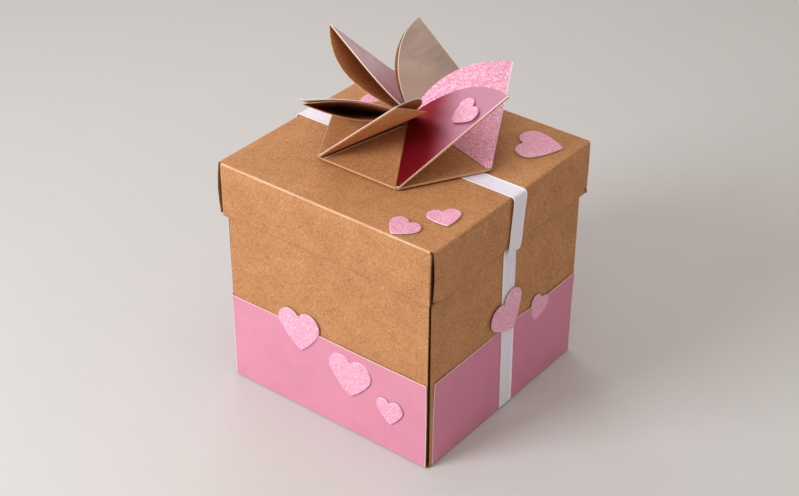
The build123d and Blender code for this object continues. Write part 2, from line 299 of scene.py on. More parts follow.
# %% Material: kraft card
def mix_colour(tree, factor, first, second, mode="MIX"):
    """Blend two colours, given as sockets or values, by a socket or a number."""
    node = add_node(tree, "ShaderNodeMix", data_type="RGBA", blend_type=mode)
    for index, value in ((0, factor), (6, first), (7, second)):
        if isinstance(value, (int, float, tuple)):
            node.inputs[index].default_value = value
        else:
            tree.links.new(value, node.inputs[index])
    return node.outputs[2]

def scaled(tree, socket, low, high, from_low=0.0, from_high=1.0):
    """Carry a value from one range, 0..1 if none is given, to another."""
    node = add_node(tree, "ShaderNodeMapRange", {
        "From Min": from_low, "From Max": from_high, "To Min": low, "To Max": high,
    })
    tree.links.new(socket, node.inputs["Value"])
    return node.outputs["Result"]

def add_bump(tree, shader, height, depth_mm, strength=1.0):
    """Raise the surface by a height field, so many millimetres at most."""
    bump = add_node(tree, "ShaderNodeBump", {"Distance": depth_mm * mm, "Strength": strength})
    tree.links.new(height, bump.inputs["Height"])
    join(tree, bump, "Normal", shader, "Normal")

cloud_strength = 0.36
mottle_strength = 0.42
dark_fibre_strength = 0.4
pale_fibre_strength = 0.5
bark_strength = 0.7
bark_brown = from_screen(92, 54, 30)

def kraft_material(name, brown, dark_brown, pale_brown):
    """Kraft card of one tone."""
    material, tree, shader = new_material(name)
    fibres = add_node(tree, "ShaderNodeGroup", node_tree=fibre_group)
    cloud = scaled(tree, fibres.outputs["Clouds"], 0.0, cloud_strength, from_low=0.35, from_high=0.65)
    tone = mix_colour(tree, cloud, brown, dark_brown)
    mottle = scaled(tree, fibres.outputs["Grain"], 0.0, mottle_strength, from_low=0.38, from_high=0.62)
    tone = mix_colour(tree, mottle, tone, dark_brown)
    for field, strength, colour in (
        ("Dark fibres", dark_fibre_strength, dark_brown),
        ("Pale fibres", pale_fibre_strength, pale_brown),
        ("Specks", bark_strength, bark_brown),
    ):
        amount = math_node(tree, "MULTIPLY", fibres.outputs[field], strength)
        tone = mix_colour(tree, amount, tone, colour)
    tree.links.new(tone, shader.inputs["Base Color"])
    tree.links.new(scaled(tree, fibres.outputs["Grain"], 0.52, 0.86), shader.inputs["Roughness"])
    shader.inputs["Specular IOR Level"].default_value = 0.4
    relief = math_node(tree, "ADD", fibres.outputs["Pale fibres"], fibres.outputs["Grain"])
    add_bump(tree, shader, relief, 0.05, 0.5)
    return material

kraft = kraft_material(
    "kraft card", from_screen(201, 140, 87), from_screen(150, 89, 48), from_screen(228, 180, 130)
)

# %% [markdown]
# The bands are smooth pink paper with a faint upright rib from the press. The ribs are a sine
# wave over the distance along the wall, shifted a little by noise so that they aren't ruled.
# The two sides get a deeper pink than the front and the back, as painted shade matched to the right
# side, which lies out of the lamp's light.

# %% Material: pink band paper
rib_spacing = 1.9 * mm
rib_shift = 5.0
rib_strength = 0.05

def band_material(name, runs_along_x, pink):
    """Pink paper with fine upright ribs."""
    material, tree, shader = new_material(name)
    where = add_node(tree, "ShaderNodeTexCoord")
    apart = add_node(tree, "ShaderNodeSeparateXYZ")
    join(tree, where, "Object", apart, 0)
    along = apart.outputs["X"] if runs_along_x else apart.outputs["Y"]
    even_phase = math_node(tree, "MULTIPLY", along, math.tau / rib_spacing)
    wobble = lay_texture(tree, "ShaderNodeTexNoise", {"Scale": 60.0, "Detail": 2.0})
    shift = math_node(tree, "MULTIPLY", wobble.outputs["Fac"], rib_shift)
    ribs = math_node(tree, "SINE", math_node(tree, "ADD", even_phase, shift), 0.0)
    faint_ribs = math_node(tree, "MULTIPLY", ribs, rib_strength)
    pressed = math_node(tree, "ADD", faint_ribs, wobble.outputs["Fac"])
    soft = scaled(tree, pressed, 0.9, 1.02, from_low=0.2, from_high=0.8)
    grey = add_node(tree, "ShaderNodeCombineColor")
    for channel in range(3):
        tree.links.new(soft, grey.inputs[channel])
    printed = mix_colour(tree, 1.0, pink, grey.outputs[0], "MULTIPLY")
    tree.links.new(printed, shader.inputs["Base Color"])
    tree.links.new(scaled(tree, wobble.outputs["Fac"], 0.34, 0.52), shader.inputs["Roughness"])
    shader.inputs["Specular IOR Level"].default_value = 0.28
    add_bump(tree, shader, ribs, 0.01, 0.2)
    return material

band_pink = from_screen(226, 147, 172)
# Deeper pink for the sides: painted shade.
band_pink_shaded = from_screen(218, 136, 163)
pink_across = band_material("pink paper, front and back", True, band_pink)
pink_along = band_material("pink paper, sides, painted shade", False, band_pink_shaded)

# %% [markdown]
# White satin ribbon: streaks run along it, and the woven selvedges on both sides stand a little
# proud and are brighter than the middle. Where a point lies across and along the ribbon is
# stored with the ribbon's points, in millimetres, so the streaks follow it round every bend.

# %% Material: satin ribbon
def ribbon_material(half_width, selvedge_width):
    """White satin with streaks along it and bright selvedges."""
    material, tree, shader = new_material("satin ribbon")
    across = add_node(tree, "ShaderNodeAttribute", attribute_name="across")
    along = add_node(tree, "ShaderNodeAttribute", attribute_name="along")
    place = add_node(tree, "ShaderNodeCombineXYZ")
    tree.links.new(math_node(tree, "MULTIPLY", across.outputs["Fac"], 2.2), place.inputs["X"])
    tree.links.new(math_node(tree, "MULTIPLY", along.outputs["Fac"], 0.35), place.inputs["Y"])
    streaks = add_node(tree, "ShaderNodeTexNoise", {"Scale": 1.0, "Detail": 4.0, "Roughness": 0.7})
    join(tree, place, 0, streaks, "Vector")
    streak = scaled(tree, streaks.outputs["Fac"], 0.0, 1.0, from_low=0.3, from_high=0.7)
    middle = mix_colour(tree, streak, from_screen(248, 245, 255), from_screen(222, 215, 239))
    inner = (half_width - selvedge_width) / mm
    edge = scaled(
        tree, math_node(tree, "ABSOLUTE", across.outputs["Fac"], 0.0),
        0.0, 1.0, from_low=inner - 0.1, from_high=inner + 0.15,
    )
    tone = mix_colour(tree, edge, middle, from_screen(252, 253, 255))
    tree.links.new(tone, shader.inputs["Base Color"])
    tree.links.new(scaled(tree, edge, 0.38, 0.6), shader.inputs["Roughness"])
    shader.inputs["Sheen Weight"].default_value = 0.8
    add_bump(tree, shader, streaks.outputs["Fac"], 0.08, 0.5)
    return material

ribbon_low, ribbon_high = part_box("lid_ribbon")
ribbon_width = ribbon_high.y - ribbon_low.y
ribbon_middle = (ribbon_high.y + ribbon_low.y) / 2
selvedge = 0.75 * mm
ribbon_satin = ribbon_material(ribbon_width / 2, selvedge)

# %% [markdown]
# Glitter card is a crowd of tiny flakes, each tilted its own way. A Voronoi texture gives every cell a
# random colour. That colour tilts the surface, so that some flakes flash and others stay dark, and
# picks out a few that are painted gold or white as glints.

# %% Group and material: glitter
glitter_group, entry, result = new_group(
    "Glitter flakes",
    [("Flake size", "NodeSocketFloat", 0.5), ("Share of glints", "NodeSocketFloat", 0.1)],
    [("Tone", "NodeSocketFloat"), ("Painted glints", "NodeSocketFloat"), ("Tilt", "NodeSocketFloat")],
)
flake_core_radius = 0.42
flakes = add_node(glitter_group, "ShaderNodeTexVoronoi", feature="F1")
join(glitter_group, place_in_mm(glitter_group), 0, flakes, "Vector")
flake_scale = math_node(glitter_group, "DIVIDE", 1.0, entry.outputs["Flake size"])
glitter_group.links.new(flake_scale, flakes.inputs["Scale"])
luck = add_node(glitter_group, "ShaderNodeSeparateColor")
join(glitter_group, flakes, "Color", luck, 0)
glint = math_node(glitter_group, "LESS_THAN", luck.outputs[0], entry.outputs["Share of glints"])
core = math_node(glitter_group, "LESS_THAN", flakes.outputs["Distance"], flake_core_radius)
glitter_group.links.new(luck.outputs[1], result.inputs["Tone"])
glitter_group.links.new(math_node(glitter_group, "MULTIPLY", glint, core), result.inputs["Painted glints"])
glitter_group.links.new(luck.outputs[2], result.inputs["Tilt"])

def glitter_material(name, pink, deep, glint_colour, size, share):
    """Pink glitter card."""
    material, tree, shader = new_material(name)
    flakes = add_node(tree, "ShaderNodeGroup", node_tree=glitter_group)
    flakes.inputs["Flake size"].default_value = size
    flakes.inputs["Share of glints"].default_value = share
    tone = mix_colour(tree, flakes.outputs["Tone"], pink, deep)
    tone = mix_colour(tree, flakes.outputs["Painted glints"], tone, glint_colour)
    tree.links.new(tone, shader.inputs["Base Color"])
    tree.links.new(scaled(tree, flakes.outputs["Tilt"], 0.3, 0.7), shader.inputs["Roughness"])
    tree.links.new(scaled(tree, flakes.outputs["Tone"], 0.0, 0.25), shader.inputs["Metallic"])
    add_bump(tree, shader, flakes.outputs["Tilt"], 0.08, 0.6)
    return material

# The third colour is the painted glint of the spark flakes.
heart_glitter = glitter_material(
    "glitter card", from_screen(250, 190, 214), from_screen(238, 154, 188),
    from_screen(255, 246, 248), size=0.55, share=0.16,
)
petal_glitter = glitter_material(
    "glitter paper", from_screen(255, 200, 226), from_screen(240, 142, 180),
    from_screen(255, 250, 214), size=0.72, share=0.16,
)

# %% [markdown]
# Five of the six linings are printed foil paper. It mirrors the room and the card nearby in its own
# colour, which is what a metallic shader does. The soft streaks that slow waves in the sheet make of
# those mirror images are painted reflections. A noise that is stretched one way darkens the colour in
# bands, more strongly on the two back petals than on the others, and bumps the sheet a little. Each
# colour darkens towards its petal's crease, the front right one to crimson, as painted shade and
# painted reflection of the dark card round the crease. How near the crease a point lies is stored with
# the points. The table gives a foil's colour, its colour at the crease and how much its streaks darken
# it.

# %% Material: foil lining paper
streak_turn = (0.5, 0.6, 0.3)
streak_stretch = (1, 1, 4)

def foil_material(name, colour, crease_shade_colour, streaks):
    """Printed foil paper with painted reflection streaks, whose colour darkens towards the petal's
    crease as painted shade.
    """
    material, tree, shader = new_material(name)
    stretch = lay_texture(
        tree, "ShaderNodeMapping", {"Rotation": streak_turn, "Scale": streak_stretch}
    )
    drift = add_node(tree, "ShaderNodeTexNoise", {"Scale": 40.0, "Detail": 3.0, "Distortion": 0.5})
    join(tree, stretch, 0, drift, "Vector")
    painted_streak_colour = tuple(channel * (1 - streaks) for channel in colour[:3]) + (1,)
    streak = scaled(tree, drift.outputs["Fac"], 0.0, 1.0, from_low=0.3, from_high=0.7)
    printed = mix_colour(tree, streak, colour, painted_streak_colour)
    crease = add_node(tree, "ShaderNodeAttribute", attribute_name="near_crease")
    printed = mix_colour(tree, crease.outputs["Fac"], printed, crease_shade_colour)
    tree.links.new(printed, shader.inputs["Base Color"])
    shader.inputs["Metallic"].default_value = 0.85
    tree.links.new(scaled(tree, drift.outputs["Fac"], 0.3, 0.46), shader.inputs["Roughness"])
    add_bump(tree, shader, drift.outputs["Fac"], 0.5, 0.4)
    return material

# Each foil: its colour, its colour at the crease with painted shade and reflection, and how much the
# painted streaks darken it.
foil_colours = {
    "front_left": (from_screen(250, 180, 205), from_screen(200, 90, 120), 0.15),
    "front_right": (from_screen(252, 180, 212), from_screen(168, 34, 54), 0.1),
    "back_right": (from_screen(230, 202, 188), from_screen(218, 187, 171), 0.36),
    "back_left": (from_screen(255, 218, 226), from_screen(228, 160, 180), 0.25),
    "left": (from_screen(236, 222, 240), from_screen(220, 200, 226), 0.15),
}
foils = {name: foil_material("foil " + name, *print_set) for name, print_set in foil_colours.items()}
print("foils:", len(foils))

# %% [markdown]
# White foam tape holds the bloom up over the ribbon. It hardly shows, yet it gets its own fine
# pores, because someone may look from the side.

# %% Material: foam tape
def foam_material():
    """Closed white foam with small pores."""
    material, tree, shader = new_material("foam tape")
    pores = lay_texture(tree, "ShaderNodeTexVoronoi", {"Scale": 2500.0})
    depth = pores.outputs["Distance"]
    tone = mix_colour(tree, depth, from_screen(214, 212, 208), from_screen(240, 239, 236))
    tree.links.new(tone, shader.inputs["Base Color"])
    shader.inputs["Roughness"].default_value = 0.85
    add_bump(tree, shader, depth, 0.1, 0.5)
    return material

foam = foam_material()

# %% [markdown]
# Every new sheet starts as a flat grid, the way real paper starts as a flat sheet. A helper adds
# the grid with an operator and lays each of its points where a rule says, given how far across
# and how far along the sheet the point lies. Another gives the sheet its thickness with a
# Solidify modifier, which can put a second material on the rim. That is how the white core of
# printed paper shows at its cut edge.

# %% Helpers for paper sheets
tiny = 0.01 * mm
sharp_from = math.radians(35)

def lay_grid(name, across_steps, along_steps, rule):
    """A grid whose points lie where the rule puts them, for shares 0..1 across and along."""
    bpy.ops.object.select_all(action="DESELECT")
    bpy.ops.mesh.primitive_grid_add(x_subdivisions=across_steps, y_subdivisions=along_steps, size=1)
    piece = bpy.context.object
    piece.name = name
    for point in piece.data.vertices:
        point.co = rule(point.co.x + 0.5, point.co.y + 0.5)
    return piece

def only(piece):
    """Select one piece alone and make it active."""
    bpy.ops.object.select_all(action="DESELECT")
    piece.select_set(True)
    bpy.context.view_layer.objects.active = piece

def edit_whole(piece, operator, **settings):
    """Use one mesh operator on the whole of a piece."""
    only(piece)
    bpy.ops.object.mode_set(mode="EDIT")
    bpy.ops.mesh.select_all(action="SELECT")
    operator(**settings)
    bpy.ops.object.mode_set(mode="OBJECT")

def thicken(piece, thickness, offset, rim_slot=0, back_slot=0):
    """Give a sheet its thickness, with its rim and its back in other material slots if asked."""
    only(piece)
    solid = piece.modifiers.new("thickness", "SOLIDIFY")
    solid.thickness = thickness
    solid.offset = offset
    solid.use_even_offset = True
    solid.material_offset_rim = rim_slot
    solid.material_offset = back_slot
    bpy.ops.object.modifier_apply(modifier=solid.name)
    bpy.ops.object.shade_smooth_by_angle(angle=sharp_from)

def join_pieces(pieces, name):
    """Join several pieces into the first."""
    bpy.ops.object.select_all(action="DESELECT")
    for piece in pieces:
        piece.select_set(True)
    bpy.context.view_layer.objects.active = pieces[0]
    if len(pieces) > 1:
        bpy.ops.object.join()
    whole = bpy.context.object
    whole.name = name
    return whole

def face_outwards(piece, outside):
    """Turn every face over if the sheet looks away from a direction."""
    facing = sum((face.normal * face.area for face in piece.data.polygons), Vector())
    if facing.dot(Vector(outside)) <= 0:
        edit_whole(piece, bpy.ops.mesh.flip_normals)

def whiten(piece, columns, is_white):
    """Put the second material on the faces of a grid whose column and row pass a test."""
    for face in piece.data.polygons:
        row, column = divmod(face.index, columns)
        if is_white(column, row):
            face.material_index = 1

def mark_points(piece, name, rule):
    """Store one number for every point, for a material to read."""
    attribute = piece.data.attributes.new(name, "FLOAT", "POINT")
    for point in piece.data.vertices:
        attribute.data[point.index].value = rule(point.co)

def hand_over(piece, body, node):
    """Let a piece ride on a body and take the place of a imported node."""
    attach(piece, body)
    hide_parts(node)

# %% [markdown]
# A fresh cut edge of kraft card is paler than its pressed face. The dark edge tone below is handling
# dirt in part and painted shade in part, on the raw ends in the corner slits and along the lid's foot.
# The glued tabs get painted shade through a mark on the card. Printed paper shows an almost white core
# where it is cut. All are small materials of their own.

# %% Materials: cut edges
rub_and_highlight_strength = 0.7

def kraft_painted_light_material(name, rub_and_highlight_colour, shade_colour):
    """Kraft card whose marked places are made pale by wear and painted highlight, or dark by painted
    shade.
    """
    material = kraft.copy()
    material.name = name
    tree = material.node_tree
    shader = tree.nodes["Principled BSDF"]
    mark = add_node(tree, "ShaderNodeAttribute", attribute_name="rub_and_highlight")
    amount = math_node(tree, "MULTIPLY", mark.outputs["Fac"], rub_and_highlight_strength)
    plain = shader.inputs["Base Color"].links[0].from_socket
    tone = mix_colour(tree, amount, plain, rub_and_highlight_colour)
    mark = add_node(tree, "ShaderNodeAttribute", attribute_name="painted_shade")
    tone = mix_colour(tree, mark.outputs["Fac"], tone, shade_colour)
    tree.links.new(tone, shader.inputs["Base Color"])
    return material

# The pale tone serves rubbed wear and painted highlight, and the dark tone serves painted shade.
kraft_folded = kraft_painted_light_material(
    "kraft card, rub, painted highlight and shade", from_screen(255, 222, 190), from_screen(74, 42, 24)
)
kraft_cut = kraft_material(
    "kraft cut edge", from_screen(206, 150, 100), from_screen(164, 106, 62), from_screen(226, 184, 138)
)
# The dark edge: handling dirt in part, painted shade in part on the raw ends in the slits.
kraft_dark_edge = kraft_material(
    "kraft dark edge, dirt and painted shade", from_screen(140, 92, 58), from_screen(96, 58, 32), from_screen(176, 126, 84)
)

def white_core():
    """The white core that printed paper shows where it is cut."""
    material, tree, shader = new_material("white paper core")
    pulp = lay_texture(tree, "ShaderNodeTexNoise", {"Scale": 1400.0, "Detail": 2.0})
    tone = mix_colour(tree, pulp.outputs["Fac"], from_screen(255, 252, 250), from_screen(236, 228, 230))
    tree.links.new(tone, shader.inputs["Base Color"])
    shader.inputs["Roughness"].default_value = 0.6
    return material

paper_core = white_core()

# %% [markdown]
# ## The base
# The base is a cross of card: a floor with four arms folded up into walls, whose ends don't
# quite meet. Each wall stops short of its corners, by the millimetres given below for its first
# and its last end, at the foot and at the top. The side walls do so most at the front, at their
# feet. That leaves the dark upright slit that tells an explosion box from a plain one.

# %% Fold the base
base_card = 0.5 * mm
base_fold_radius = 1.0 * mm
base_columns = 8
base_fold_rows = 4
base_rows = 12
wall_turns = {"front": 0, "right": 90, "back": 180, "left": 270}
wall_ends = {
    "front": ((1.2, 1.2), (1.2, 1.2)), "right": ((1.5, 0.6), (0.8, 0.8)),
    "back": ((0.8, 0.8), (0.8, 0.8)), "left": ((0.8, 0.8), (1.5, 0.6)),
}

def on_wall(name, along, out, height):
    """A place given along a wall, out from the box's axis and up."""
    turn = Matrix.Rotation(math.radians(wall_turns[name]), 3, "Z")
    return turn @ Vector((along, -out, height))

def base_point(name, across, along):
    """The place of one point of a wall and of the fold under it."""
    row = round(along * base_rows)
    inner = base_half - base_fold_radius
    turn = math.pi / 2 * min(row / base_fold_rows, 1)
    out = inner + base_fold_radius * math.sin(turn)
    height = base_fold_radius * (1 - math.cos(turn))
    climb = max(row - base_fold_rows, 0) / (base_rows - base_fold_rows)
    height += (base_high.z - base_fold_radius) * climb
    floor_place = -inner + 2 * inner * across
    first, last = [(foot + (top - foot) * climb) * mm for foot, top in wall_ends[name]]
    wall_place = -base_half + first + (2 * base_half - first - last) * across
    spread = min(row / base_fold_rows, 1)
    return on_wall(name, floor_place + (wall_place - floor_place) * spread, out, height)

def base_floor_point(across, along):
    """The place of one point of the floor."""
    inner = base_half - base_fold_radius
    return Vector((inner * (2 * across - 1), inner * (2 * along - 1), 0))

base_parts = [lay_grid("base_floor", base_columns, base_columns, base_floor_point)]
face_outwards(base_parts[0], (0, 0, -1))
for name in wall_turns:
    wall = lay_grid(
        "wall_" + name, base_columns, base_rows,
        lambda across, along: base_point(name, across, along),
    )
    face_outwards(wall, on_wall(name, 0, 1, 0))
    base_parts.append(wall)
base_cross = join_pieces(base_parts, "base_cross")
edit_whole(base_cross, bpy.ops.mesh.remove_doubles, threshold=tiny)
base_cross.data.materials.append(kraft)
# The rim takes the dark edge, painted shade on the raw ends in the corner slits.
base_cross.data.materials.append(kraft_dark_edge)
thicken(base_cross, base_card, -1, rim_slot=1)
hand_over(base_cross, "box", "base_box")
print("base cross:", len(base_cross.data.polygons), "faces")

# %% [markdown]
# Each pink band is a strip of paper on a wall, and its ends stop short of the corners by the
# millimetres given below. Its outermost columns and its top row are narrow and take the white
# core, because the knife leaves a torn white line along a printed sheet. Its top edge stands off
# the wall by a hair, which draws the thin dark line above the pink. On the sides the ribbon
# holds it flat.

# %% Glue on the bands
band_paper = 0.3 * mm
band_margin = 0.16 * mm
band_columns = 14
band_rows = 12
band_sheet_share = 0.95
band_loose = 0.75 * mm
band_loose_share = 0.5
band_wave = 17 * mm
band_wave_share = 0.3
held_widths = 0.9
band_ends = {"front": (1.0, 1.35), "right": (3.2, 1.0), "back": (1.0, 1.0), "left": (3.2, 1.0)}

def with_margins(share, steps, length, margin):
    """Even steps along a length, but for a narrow one at both ends."""
    step = round(share * steps)
    if step in (0, steps):
        return length * step / steps
    return margin + (length - 2 * margin) * (step - 1) / (steps - 2)

def band_point(name, across, along):
    """The place of one point of a band's outer face."""
    first, last = (end * mm for end in band_ends[name])
    width = 2 * base_half - first - last
    height = band_high.z - band_low.z
    place = -base_half + first + with_margins(across, band_columns, width, band_margin)
    up = with_margins(along, band_rows, height, band_margin)
    loose = max(up / height - 1 + band_loose_share, 0) / band_loose_share
    wave = 1 - band_wave_share + band_wave_share * math.sin(place / band_wave)
    stand = band_loose * loose ** 2 * wave
    flat = on_wall(name, place, base_half + band_paper, band_low.z + up)
    if name in ("right", "left"):
        from_ribbon = abs(flat.y - ribbon_middle) / ribbon_width
        stand *= min(max(from_ribbon - held_widths, 0), 1)
    return flat + on_wall(name, 0, stand, 0)

def band_is_white(column, row):
    """True along both ends of a band and along its top."""
    return column in (0, band_columns - 1) or row == band_rows - 1

for name in wall_turns:
    band = lay_grid(
        "pink_" + name, band_columns, band_rows,
        lambda across, along: band_point(name, across, along),
    )
    band.data.materials.append(pink_across if name in ("front", "back") else pink_along)
    band.data.materials.append(paper_core)
    whiten(band, band_columns, band_is_white)
    face_outwards(band, on_wall(name, 0, 1, 0))
    thicken(band, band_paper * band_sheet_share, -1, rim_slot=1, back_slot=1)
    hand_over(band, "box", "band_" + name)
print("bands glued:", len(wall_turns))

# %% [markdown]
# ## The lid
# The lid is one sheet of card: a square top, four skirts, and a glue tab at each end of the
# front and back skirts that goes behind the side skirts. We cut the flat sheet out of a plane
# and fold it up, exactly as the maker did. Each fold is four small turns in a row, which gives
# the soft shoulder of scored card. A bevelled cube would be quicker, but it would have no slits
# at its corners.

# %% Cut the lid's flat sheet
card = 0.5 * mm
lid_fold_radius = 0.9 * mm
tab_fold_radius = 0.8 * mm
tab_length = 15 * mm
skirt_gap = 0.85 * mm
tab_standoff = 0.7 * mm
skirt_corner = 2.4 * mm
fold_turns = 4
grid_steps = 10

def fold_lines(start, radius):
    """Where the small turns of one fold lie on the flat sheet."""
    turn = math.pi / 2 / fold_turns
    reach = sum(math.cos(turn * number) for number in range(1, fold_turns))
    return [start + radius / reach * number for number in range(fold_turns)]

skirt_lines = fold_lines(lid_half - lid_fold_radius, lid_fold_radius)
tab_face = lid_half - card - tab_standoff
tab_lines = fold_lines(tab_face - tab_fold_radius, tab_fold_radius)
skirt_end = skirt_lines[-1] + lid_top - lid_bottom - lid_fold_radius
tab_end = tab_lines[-1] + tab_length
side_end = lid_half - skirt_gap

bpy.ops.object.select_all(action="DESELECT")
bpy.ops.mesh.primitive_plane_add(size=2 * skirt_end, location=(0, 0, lid_top))
lid_card = bpy.context.object
lid_card.name = "lid_card"
bpy.ops.object.transform_apply(location=True)
bpy.ops.object.mode_set(mode="EDIT")
regular = [lid_side * number / grid_steps for number in range(1, grid_steps // 2)]
drops = [lid_half + (skirt_end - lid_half) * share for share in (0.25, 0.5, 0.75, 0.9, 0.98)]
cuts = skirt_lines + tab_lines + regular + drops + [tab_end, side_end]
for axis in (0, 1):
    for place in [0] + cuts + [-cut for cut in cuts]:
        spot = [0, 0, 0]
        spot[axis] = place
        across = [0, 0, 0]
        across[axis] = 1
        bpy.ops.mesh.select_all(action="SELECT")
        bpy.ops.mesh.bisect(plane_co=spot, plane_no=across)

def is_waste(x, y):
    """True for a face of the plane that isn't part of the lid's sheet."""
    x = abs(x)
    y = abs(y)
    first = skirt_lines[0]
    last = skirt_lines[-1]
    if x < first and y < first:
        return False
    if x < first and y < last:
        return x > tab_lines[0]
    if y < first and x < last:
        return False
    if y > last:
        return x > tab_end
    return not (x > last and y < side_end)

def pick_faces(piece, test):
    """In edit mode, select the faces whose centre passes a test, and no other."""
    bpy.ops.mesh.select_mode(type="FACE")
    bpy.ops.mesh.select_all(action="DESELECT")
    mesh = bmesh.from_edit_mesh(piece.data)
    for face in mesh.faces:
        centre = face.calc_center_median()
        face.select = test(centre.x, centre.y)
    mesh.select_flush_mode()
    bmesh.update_edit_mesh(piece.data)

pick_faces(lid_card, is_waste)
bpy.ops.mesh.delete(type="FACE")
bpy.ops.object.mode_set(mode="OBJECT")
print("lid sheet faces:", len(lid_card.data.polygons))

# %% [markdown]
# Folding goes from the outermost line inwards: everything beyond a line is selected and turned
# about it, and what has been folded already simply comes along. The order matters as it does on
# the bench: front and back skirts, then their tabs, and the side skirts last, over the tabs.

# %% Fold the skirts and the tabs
small_turn = math.pi / 2 / fold_turns

def turn_part(piece, axis, hinge, angle, belongs):
    """Select the points that belong to a part and turn them about an axis through a hinge."""
    bpy.ops.mesh.select_mode(type="VERT")
    bpy.ops.mesh.select_all(action="DESELECT")
    mesh = bmesh.from_edit_mesh(piece.data)
    for point in mesh.verts:
        point.select = belongs(point.co)
    mesh.select_flush_mode()
    bmesh.update_edit_mesh(piece.data)
    bpy.ops.transform.rotate(value=-angle, orient_axis=axis, center_override=hinge)

def on_side_skirt(place):
    """True on a side skirt that still lies flat."""
    flat = place.z > lid_top - tiny
    return flat and abs(place.x) > tab_lines[0] + tiny and abs(place.y) < side_end + tiny

only(lid_card)
bpy.ops.object.mode_set(mode="EDIT")
for side in (-1, 1):
    for line in reversed(skirt_lines):
        turn_part(
            lid_card, "X", (0, side * line, lid_top), -side * small_turn,
            lambda place: place.y * side > line + tiny and not on_side_skirt(place),
        )
for side in (-1, 1):
    for end in (-1, 1):
        for line in reversed(tab_lines):
            turn_part(
                lid_card, "Z", (side * line, end * lid_half, lid_top), -side * end * small_turn,
                lambda place: (place.x * side > line + tiny and place.y * end > 0
                               and place.z < lid_top - tiny),
            )
for side in (-1, 1):
    for line in reversed(skirt_lines):
        turn_part(
            lid_card, "Y", (side * line, 0, lid_top), side * small_turn,
            lambda place: (place.x * side > max(line, tab_face) + tiny
                           and abs(place.y) < side_end + tiny),
        )
bpy.ops.object.mode_set(mode="OBJECT")
low = [min(point.co[axis] for point in lid_card.data.vertices) / mm for axis in range(3)]
high = [max(point.co[axis] for point in lid_card.data.vertices) / mm for axis in range(3)]
print("folded lid from", [round(value, 1) for value in low], "to", [round(value, 1) for value in high])

# %% [markdown]
# Real skirts aren't flat. They come in at the foot along a slight curve, most in the middle of a
# side, until the wavering cut edge nearly touches the wall. The side skirts' raw ends bow, each
# its own way, and their lower corners are rounded. Two tables give a corner's share of that, by
# the signs of its x and y. The tabs lean inwards behind them, so that each slit is deep and
# dark. A few point moves in code give that, where a modifier would bend the folds too.

# %% Bow the skirts and round their corners
skirt_bow = 0.3 * mm
skirt_taper = 1.1 * mm
taper_power = 1.2
end_belly_share = 0.15
slit_bow = 0.7 * mm
end_bulge = 0.9 * mm
end_bulge_reach = 25 * mm
tab_lean = 0.5 * mm
tab_lean_reach = 1.5 * mm
slit_places = {(1, -1): 1.0, (1, 1): 0.3, (-1, -1): -0.6, (-1, 1): 0.4}
bulge_places = {(1, -1): 0.15, (1, 1): 0.3, (-1, -1): 1.0, (-1, 1): 0.3}
foot_curl = 0.3 * mm
foot_share = 0.03
foot_waver = 0.16 * mm
foot_waver_length = 7 * mm
foot_lift = 0.22 * mm
foot_lift_length = 5 * mm
skirt_drop = lid_top - lid_fold_radius - lid_bottom

def skirt_belly(height):
    """How far the middle of a skirt bellies out at a height, less what it comes in."""
    drop = min(max((lid_top - lid_fold_radius - height) / skirt_drop, 0), 1)
    return math.sin(math.pi * drop) * skirt_bow - skirt_taper * drop ** taper_power

def belly_share(along):
    """The share of the belly at a place along a skirt: all in the middle, little at the ends."""
    return end_belly_share + (1 - end_belly_share) * math.cos(math.pi * along / 2)

def shape_skirt(place):
    """The bowed place of one point of the folded lid."""
    drop = (lid_top - lid_fold_radius - place.z) / skirt_drop
    if drop <= 0:
        return place
    bowed = place.copy()
    belly = skirt_belly(place.z)
    waver = math.sin((place.x - place.y) / foot_waver_length) * foot_waver * drop ** 2
    belly += waver - foot_curl * max(drop - 1 + foot_share, 0) / foot_share
    on_side = abs(place.x) > lid_half - card / 2
    if on_side:
        side = math.copysign(1, place.x)
        bowed.x += side * belly * belly_share(place.y / side_end)
        to_end = side_end - abs(place.y)
        end = math.copysign(1, place.y)
        corner = (int(side), int(end))
        arch = math.sin(math.pi * drop)
        near_end = max(1 - to_end / end_bulge_reach, 0) ** 2
        bowed.x += side * arch * end_bulge * near_end * bulge_places[corner]
        if to_end < skirt_corner:
            bowed.y -= end * arch * slit_bow * slit_places[corner]
            if drop > 1 - tiny:
                lift = skirt_corner - to_end
                bowed.z += skirt_corner - math.sqrt(skirt_corner ** 2 - lift ** 2)
    elif abs(place.y) > lid_half - card / 2:
        side = math.copysign(1, place.y)
        bowed.y += side * belly * belly_share(place.x / tab_face)
    if drop > 1 - tiny:
        bowed.z += (1 + math.sin((place.x + place.y) / foot_lift_length)) * foot_lift / 2
    if not on_side and abs(place.x) > tab_face - tab_fold_radius:
        behind = min((lid_half - abs(place.y)) / tab_lean_reach, 1)
        inwards = max(behind, min(drop, 1))
        bowed.x -= math.copysign(tab_lean * inwards, place.x)
    return bowed

for point in lid_card.data.vertices:
    point.co = shape_skirt(point.co)

# %% [markdown]
# The fold shoulders are made pale, partly as rubbed wear and partly as painted highlight, most on the
# front fold, which faces the lamp. The cut foot is painted a little dark as the shadow line under the
# skirt. The tabs are painted dark as the shade deep in the corner slits, but for the feet of the two
# back ones. Each point carries a mark for both, and the kraft material with painted highlight and shade
# reads the marks.

# %% Mark the painted highlight and shade on the lid
highlight_reach = lid_fold_radius * 0.9
side_rub_and_highlight = 0.1
back_rub_and_highlight = 0.4
front_rub_and_highlight = 0.6
front_highlight_drift = 0.15
front_highlight_wave = 6 * mm
foot_shadow = 0.25
unshaded_foot_height = 4 * mm
tab_shade_width = 2 * mm
tab_shade_start = 0.45 * mm
tab_shade_end = 1.5 * tab_length

